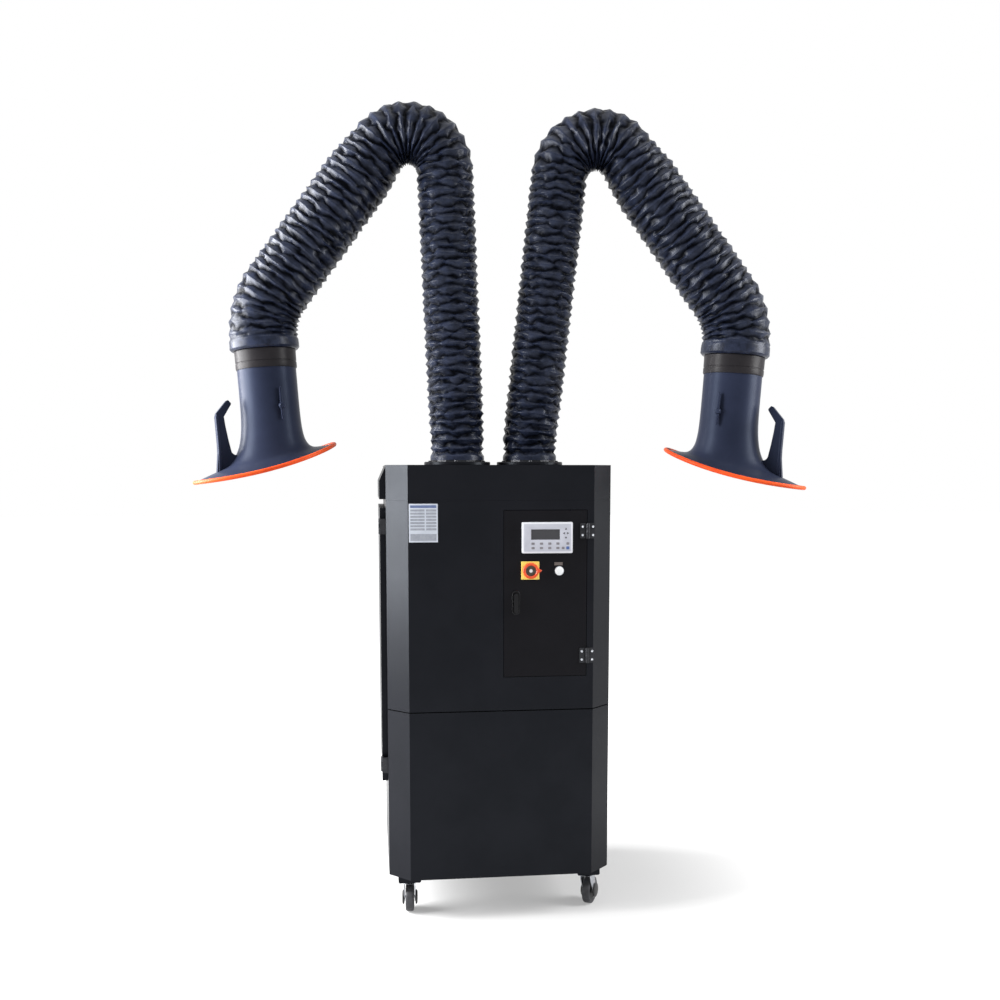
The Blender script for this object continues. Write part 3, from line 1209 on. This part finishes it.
def link_plate(name, points, half_width, thickness, base, parent, origin, material=None):
    """A flat steel bar in the arm's plane."""
    shift = Vector((origin[0], origin[2]))
    outline = bar_outline([Vector(point) - shift for point in points], half_width)
    upright = Matrix.Rotation(RIGHT_ANGLE, 4, "X")
    return plate(name, [outline], thickness, -base - thickness, parent, material, turn=upright)


def make_arm(side, sign):
    """One arm: turning base, two links, five stretches of hose, collar and hood."""
    path = ArmPath(side)
    heading = -ARM_TURN if sign > 0 else math.pi - ARM_TURN
    swivel = frame("swivel_axis_" + side, location=(sign * ARM_X, ARM_Y, CAP_TOP),
                   rotation=(0, 0, heading))
    shoulder_at = (0.0, 0.0, SHOULDER_HEIGHT)
    bisector = (path.elbow_start + path.elbow_end) / 2 - path.elbow_centre
    elbow_point = path.elbow_centre + bisector.normalized() * ELBOW_PIVOT_RADIUS
    if bisector.dot(path.rise) < 0:
        elbow_point = path.elbow_centre - bisector.normalized() * ELBOW_PIVOT_RADIUS
    elbow_at = place_on_arm(elbow_point)
    hood_point = path.collar - path.down * HOOD_PIVOT_HEIGHT
    hood_at = place_on_arm(hood_point)
    shoulder = frame("shoulder_axis_" + side, swivel, shoulder_at)
    elbow = frame("elbow_axis_" + side, shoulder, Vector(elbow_at) - Vector(shoulder_at))
    tilt = frame("hood_tilt_axis_" + side, elbow, Vector(hood_at) - Vector(elbow_at))

    make_arm_base(side, sign, swivel)
    make_turret(side, swivel, shoulder_at)

    knee = path.elbow_start - path.rise * LINK_KNEE_SETBACK
    lower = link_plate("lower_link_" + side, [(0.0, SHOULDER_HEIGHT), knee, elbow_point],
                       LINK_HALF_WIDTH, TONGUE_THICKNESS, -TONGUE_THICKNESS / 2, shoulder,
                       shoulder_at, DARK_STEEL)
    cut(lower, pin_hole((0, 0, 0), shoulder),
        pin_hole(Vector(elbow_at) - Vector(shoulder_at), shoulder))

    upper_knee = path.elbow_end + path.fall * LINK_KNEE_SETBACK
    tongue_end = hood_point - (hood_point - upper_knee).normalized() * LINK_CHEEK_LENGTH
    upper = link_plate("upper_link_" + side, [upper_knee, tongue_end], LINK_HALF_WIDTH,
                       LINK_THICKNESS, -LINK_THICKNESS / 2, elbow, elbow_at, DARK_STEEL)
    weld(upper, link_plate("hood_tongue", [upper_knee, hood_point], LINK_HALF_WIDTH + SHEET / 2,
                           TONGUE_THICKNESS, -TONGUE_THICKNESS / 2, elbow, elbow_at))
    towards_hood = (hood_point - upper_knee).normalized()
    cheek_end = upper_knee + towards_hood * LINK_CHEEK_LENGTH
    for base in (TONGUE_THICKNESS / 2 + GAP, -TONGUE_THICKNESS / 2 - GAP - CHEEK_THICKNESS):
        weld(upper, link_plate("elbow_cheek", [elbow_point, upper_knee, cheek_end],
                               CHEEK_WIDTH / 2, CHEEK_THICKNESS, base, elbow, elbow_at))
    weld(upper, *pivot_pin("elbow_pin", (0, 0, 0), elbow))
    cut(upper, pin_hole(Vector(hood_at) - Vector(elbow_at), elbow))

    make_hoses(side, path, swivel, shoulder, elbow, shoulder_at, elbow_at)
    make_hood(side, sign, tilt)


def make_arm_base(side, sign, swivel):
    """The bolted ring that holds the turret down on the cap."""
    hole = clear_of(TURRET_RADIUS, MID_ROUND)
    profile = [(BASE_RING_RADIUS, GAP + BASE_RING_HEIGHT), (BASE_RING_RADIUS, GAP),
               (hole, GAP), (hole, GAP + BASE_RING_HEIGHT)]
    ring = turned("arm_base_" + side, profile, swivel, BLACK_PAINT, sides=MID_ROUND,
                  closed=True)
    top = GAP + BASE_RING_HEIGHT
    for i in range(BASE_BOLT_COUNT):
        angle = FULL_TURN * (i + 1 / 2) / BASE_BOLT_COUNT
        start = (BASE_BOLT_CIRCLE * math.cos(angle), BASE_BOLT_CIRCLE * math.sin(angle),
                 top - SCREW_HEAD_HEIGHT)
        weld(ring, rod("base_bolt", start, 2 * SCREW_HEAD_HEIGHT, SCREW_HEAD * 3 / 2,
                       parent=swivel, sides=END_ARC_STEPS))
    return ring


def make_turret(side, swivel, shoulder_at):
    """The turning spigot inside the hose, with the cheeks of the shoulder pivot."""
    inner = TURRET_RADIUS - TURRET_WALL
    ledge = GAP + BASE_RING_HEIGHT + GAP
    profile = [(TURRET_RADIUS, TURRET_TOP), (TURRET_RADIUS, ledge + TURRET_SHOULDER_HEIGHT),
               (TURRET_SHOULDER, ledge + TURRET_SHOULDER_HEIGHT), (TURRET_SHOULDER, ledge),
               (TURRET_RADIUS, ledge), (TURRET_RADIUS, 0.0), (TURRET_LIP, 0.0),
               (TURRET_LIP, -TURRET_LIP_HEIGHT), (inner, -TURRET_LIP_HEIGHT),
               (inner, TURRET_TOP)]
    turret = turned("turret_" + side, profile, swivel, DARK_STEEL, sides=MID_ROUND,
                    closed=True)
    bar = box("turret_crossbar", (-CHEEK_WIDTH / 2, -inner - TURRET_WALL / 2, 0.0),
              (CHEEK_WIDTH / 2, inner + TURRET_WALL / 2, CROSSBAR_HEIGHT), swivel)
    weld(turret, bar)
    weld(turret, *pivot_cheeks(swivel, shoulder_at[2], CROSSBAR_HEIGHT / 2))
    return weld(turret, *pivot_pin("shoulder_pin", shoulder_at, swivel))


def pivot_cheeks(parent, height, base):
    """Two upright cheeks with round tops, either side of a link's tongue."""
    half = CHEEK_WIDTH / 2
    outline = [(-half, base)] + [(half, base)] + arc((0, height), half, 0, math.pi,
                                                     END_ARC_STEPS)
    upright = Matrix.Rotation(RIGHT_ANGLE, 4, "X")
    inner = TONGUE_THICKNESS / 2 + GAP
    return [plate("pivot_cheek", [outline], CHEEK_THICKNESS, start, parent, turn=upright)
            for start in (inner, -inner - CHEEK_THICKNESS)]


def make_hoses(side, path, swivel, shoulder, elbow, shoulder_at, elbow_at):
    """Five stretches: three that bend at a pivot and two that ride on a link."""
    first = HOSE_START
    shoulder_end = HOSE_START + SHOULDER_SECTION
    elbow_in = path.marks[1] - ELBOW_STRAIGHT
    elbow_out = path.marks[2] + ELBOW_STRAIGHT
    cuff_in = path.marks[3] - CUFF_LEAD
    hose_section("hose_shoulder_" + side, path, first, shoulder_end, swivel, (0, 0, 0))
    hose_section("hose_lower_" + side, path, shoulder_end, elbow_in, shoulder, shoulder_at)
    hose_section("hose_elbow_" + side, path, elbow_in, elbow_out, shoulder, shoulder_at)
    hose_section("hose_upper_" + side, path, elbow_out, cuff_in, elbow, elbow_at)
    hose_section("hose_cuff_" + side, path, cuff_in, path.length, elbow, elbow_at)


def make_collar(side, lean, tilt):
    """The collar that the hose is clamped on, hung from the last pivot."""
    hang = frame("collar_frame_" + side, tilt, rotation=(0, lean, 0))
    top = -HOOD_PIVOT_HEIGHT - GAP
    wall = COLLAR_RADIUS - COLLAR_WALL
    spigot_inner = COLLAR_SPIGOT - COLLAR_SPIGOT_WALL
    step = top - 2 * COLLAR_WALL
    profile = [(COLLAR_SPIGOT, top + COLLAR_SPIGOT_HEIGHT), (COLLAR_SPIGOT, top),
               (COLLAR_RADIUS, top), (COLLAR_RADIUS, top - COLLAR_HEIGHT),
               (wall, top - COLLAR_HEIGHT), (wall, step), (spigot_inner, step + COLLAR_WALL),
               (spigot_inner, top + COLLAR_SPIGOT_HEIGHT)]
    collar = turned("hood_collar_" + side, profile, hang, COLLAR_PLASTIC, closed=True)
    bar_top = step - COLLAR_WALL
    bar = box("collar_crossbar", (-CHEEK_WIDTH / 2, -wall - COLLAR_WALL / 2,
                                  bar_top - CROSSBAR_HEIGHT),
              (CHEEK_WIDTH / 2, wall + COLLAR_WALL / 2, bar_top), hang)
    weld(collar, bar)
    weld(collar, *pivot_cheeks(hang, 0.0, bar_top - CROSSBAR_HEIGHT / 2))
    weld(collar, *pivot_pin("hood_pin", (0, 0, 0), hang))
    return hang, top - COLLAR_HEIGHT


def mouth_point(angle, length, width):
    """A point of the oval mouth line, seen from the neck, before its slope."""
    return MOUTH_OFFSET + length * math.cos(angle), width * math.sin(angle)


def hood_ring(depth_share, growth, drop):
    """One ring of the hood between its round neck and its oval mouth."""
    slope_share = min(1.0, max(0.0, (depth_share - HOOD_DEPTH_SHARES[1])
                               / (1 - HOOD_DEPTH_SHARES[1])))
    ring = []
    for i in range(HOOD_SIDES):
        angle = FULL_TURN * i / HOOD_SIDES
        far_x, far_y = mouth_point(angle, MOUTH_HALF_LENGTH, MOUTH_HALF_WIDTH)
        near_x, near_y = HOOD_RADIUS * math.cos(angle), HOOD_RADIUS * math.sin(angle)
        x = near_x + (far_x - near_x) * growth
        y = near_y + (far_y - near_y) * growth
        z = -drop * depth_share - slope_share ** 2 * (
            x * math.tan(MOUTH_SLOPE) + MOUTH_DROOP * growth * math.sin(angle) ** 2)
        ring.append(Vector((x, y, z)))
    return ring


def rim_height(x, growth=1.0):
    """Height of the flange over the neck's frame, on the hood's middle line."""
    return -(HOOD_LENGTH - COLLAR_HEIGHT) - x * math.tan(MOUTH_SLOPE)


def make_hood(side, sign, tilt):
    """Moulded hood: round neck, flared oval flange, hook handle, rim and damper."""
    hang, neck_z = make_collar(side, HOOD_LEAN[side], tilt)
    turn = sign * HOOD_TURN * -1
    neck = frame("hood_neck_axis_" + side, hang, (0, 0, neck_z - GAP), (0, 0, turn))
    drop = HOOD_LENGTH - COLLAR_HEIGHT
    rings = [hood_ring(depth, growth, drop)
             for depth, growth in zip(HOOD_DEPTH_SHARES, HOOD_GROWTH_SHARES)]
    shape = bmesh.new()
    layers = [[shape.verts.new(point) for point in ring] for ring in rings]
    for upper, lower in zip(layers, layers[1:]):
        for i in range(HOOD_SIDES):
            j = (i + 1) % HOOD_SIDES
            shape.faces.new((upper[i], lower[i], lower[j], upper[j]))
    hood = from_bmesh("hood_" + side, shape, neck, HOOD_PLASTIC, smooth=True, closed=False)
    wall = hood.modifiers.new("wall", "SOLIDIFY")
    wall.thickness = HOOD_WALL
    wall.offset = -1.0
    wall.use_even_offset = True
    weld(hood, hood_handle(neck))
    damper_axis = Matrix.Rotation(-turn, 4, "Z") @ Matrix.Rotation(
        -sign * (RIGHT_ANGLE + DAMPER_TURN), 4, "Z")
    across = damper_axis @ TOWARDS["X"]
    start = damper_axis @ Vector((-HOOD_RADIUS - OVERRUN, 0, -DAMPER_DROP + COLLAR_HEIGHT))
    cut(hood, rod("damper_hole", start, 2 * (HOOD_RADIUS + OVERRUN),
                  clear_of(DAMPER_SHAFT, SMALL_ROUND), parent=neck, sides=SMALL_ROUND,
                  turn=across))
    make_rim(side, neck, rings[-1])
    make_damper(side, neck, damper_axis)


def hood_handle(neck):
    """The hook that a hand pulls the hood by, with its web down to the flange."""
    half_tip = HANDLE_TIP_WIDTH / 2
    foot = rim_height(HANDLE_FOOT) - HOOD_WALL / 2
    root = rim_height(HANDLE_ROOT / 2) - HOOD_WALL / 2
    lift = COLLAR_HEIGHT
    throat = arc((HANDLE_ROOT, lift - HANDLE_GAP_BOTTOM + half_tip),
                 HANDLE_INNER - HANDLE_ROOT, 0.0, -math.pi, END_ARC_STEPS)
    outline = [(HANDLE_FOOT, foot),
               (HANDLE_OUTER, lift - HANDLE_GAP_BOTTOM),
               (HANDLE_OUTER, lift - HANDLE_KNEE_HEIGHT),
               (HANDLE_TIP_REACH + HANDLE_TIP_WIDTH, lift - HANDLE_TIP_HEIGHT + half_tip),
               (HANDLE_TIP_REACH, lift - HANDLE_TIP_HEIGHT - half_tip),
               (HANDLE_INNER, lift - HANDLE_KNEE_HEIGHT - half_tip)]
    outline += throat
    outline += [(HOOD_RADIUS + 2 * HOOD_WALL, lift - HANDLE_GAP_BOTTOM + half_tip),
                (HOOD_RADIUS - HOOD_WALL / 2, lift - HANDLE_GAP_BOTTOM + 2 * half_tip),
                (HOOD_RADIUS - HOOD_WALL / 2, root)]
    upright = Matrix.Rotation(RIGHT_ANGLE, 4, "X")
    return plate("hood_handle", [outline], HANDLE_THICKNESS, -HANDLE_THICKNESS / 2, neck,
                 turn=upright)


def make_rim(side, neck, edge):
    """The soft bumper strip round the flange."""
    clear = TRIM_RADIUS + 2 * GAP
    points = []
    for i in range(TRIM_POINTS):
        angle = FULL_TURN * i / TRIM_POINTS
        x, y = mouth_point(angle, MOUTH_HALF_LENGTH + clear, MOUTH_HALF_WIDTH + clear)
        z = (rim_height(x) - MOUTH_DROOP * math.sin(angle) ** 2 - HOOD_WALL / 2)
        points.append((x, y, z))
    rim = tube("hood_rim_" + side, points, [TRIM_RADIUS] * TRIM_POINTS, neck, ORANGE_RUBBER,
               cyclic=True, resolution=1)
    rim.data.shade_smooth()
    return rim


def make_damper(side, neck, damper_axis):
    """The throttle disc on its shaft, turned by a lever outside the neck."""
    height = -DAMPER_DROP + COLLAR_HEIGHT
    valve = frame("damper_axis_" + side, neck, (0, 0, height),
                  damper_axis.to_euler())
    disc = rod("damper_" + side, (0, -DAMPER_PLATE / 2, 0), DAMPER_PLATE, DAMPER_DISC, "Y",
               valve, DARK_STEEL, sides=ROUND)
    reach = HOOD_RADIUS + DAMPER_STANDOFF
    shaft = rod("damper_shaft", (-reach, 0, 0), 2 * reach + DAMPER_KNOB_HEIGHT, DAMPER_SHAFT,
                "X", valve, sides=SMALL_ROUND)
    knob = rod("damper_knob", (reach, 0, 0), DAMPER_KNOB_HEIGHT, DAMPER_KNOB, "X", valve,
               sides=SMALL_ROUND)
    lever = box("damper_lever", (reach, -DAMPER_LEVER_WIDTH / 2, -DAMPER_LEVER_DOWN),
                (reach + DAMPER_LEVER_THICKNESS, DAMPER_LEVER_WIDTH / 2, DAMPER_LEVER_UP),
                valve)
    return weld(disc, shaft, knob, lever)


def build():
    door_frame = frame("control_door_axis", location=(*hinge_axis_control(), 0))
    service_frame = frame("service_door_axis", location=(*hinge_axis_service(), 0))
    make_carcass()
    make_front_panels()
    make_cap()
    make_shelf()
    make_filters()
    make_fan()
    make_grille()
    make_casters()
    make_electrics()
    make_control_door(door_frame)
    make_service_door(service_frame)
    make_control_hinges()
    make_service_hinges()
    make_arm("left", -1)
    make_arm("right", 1)


build()
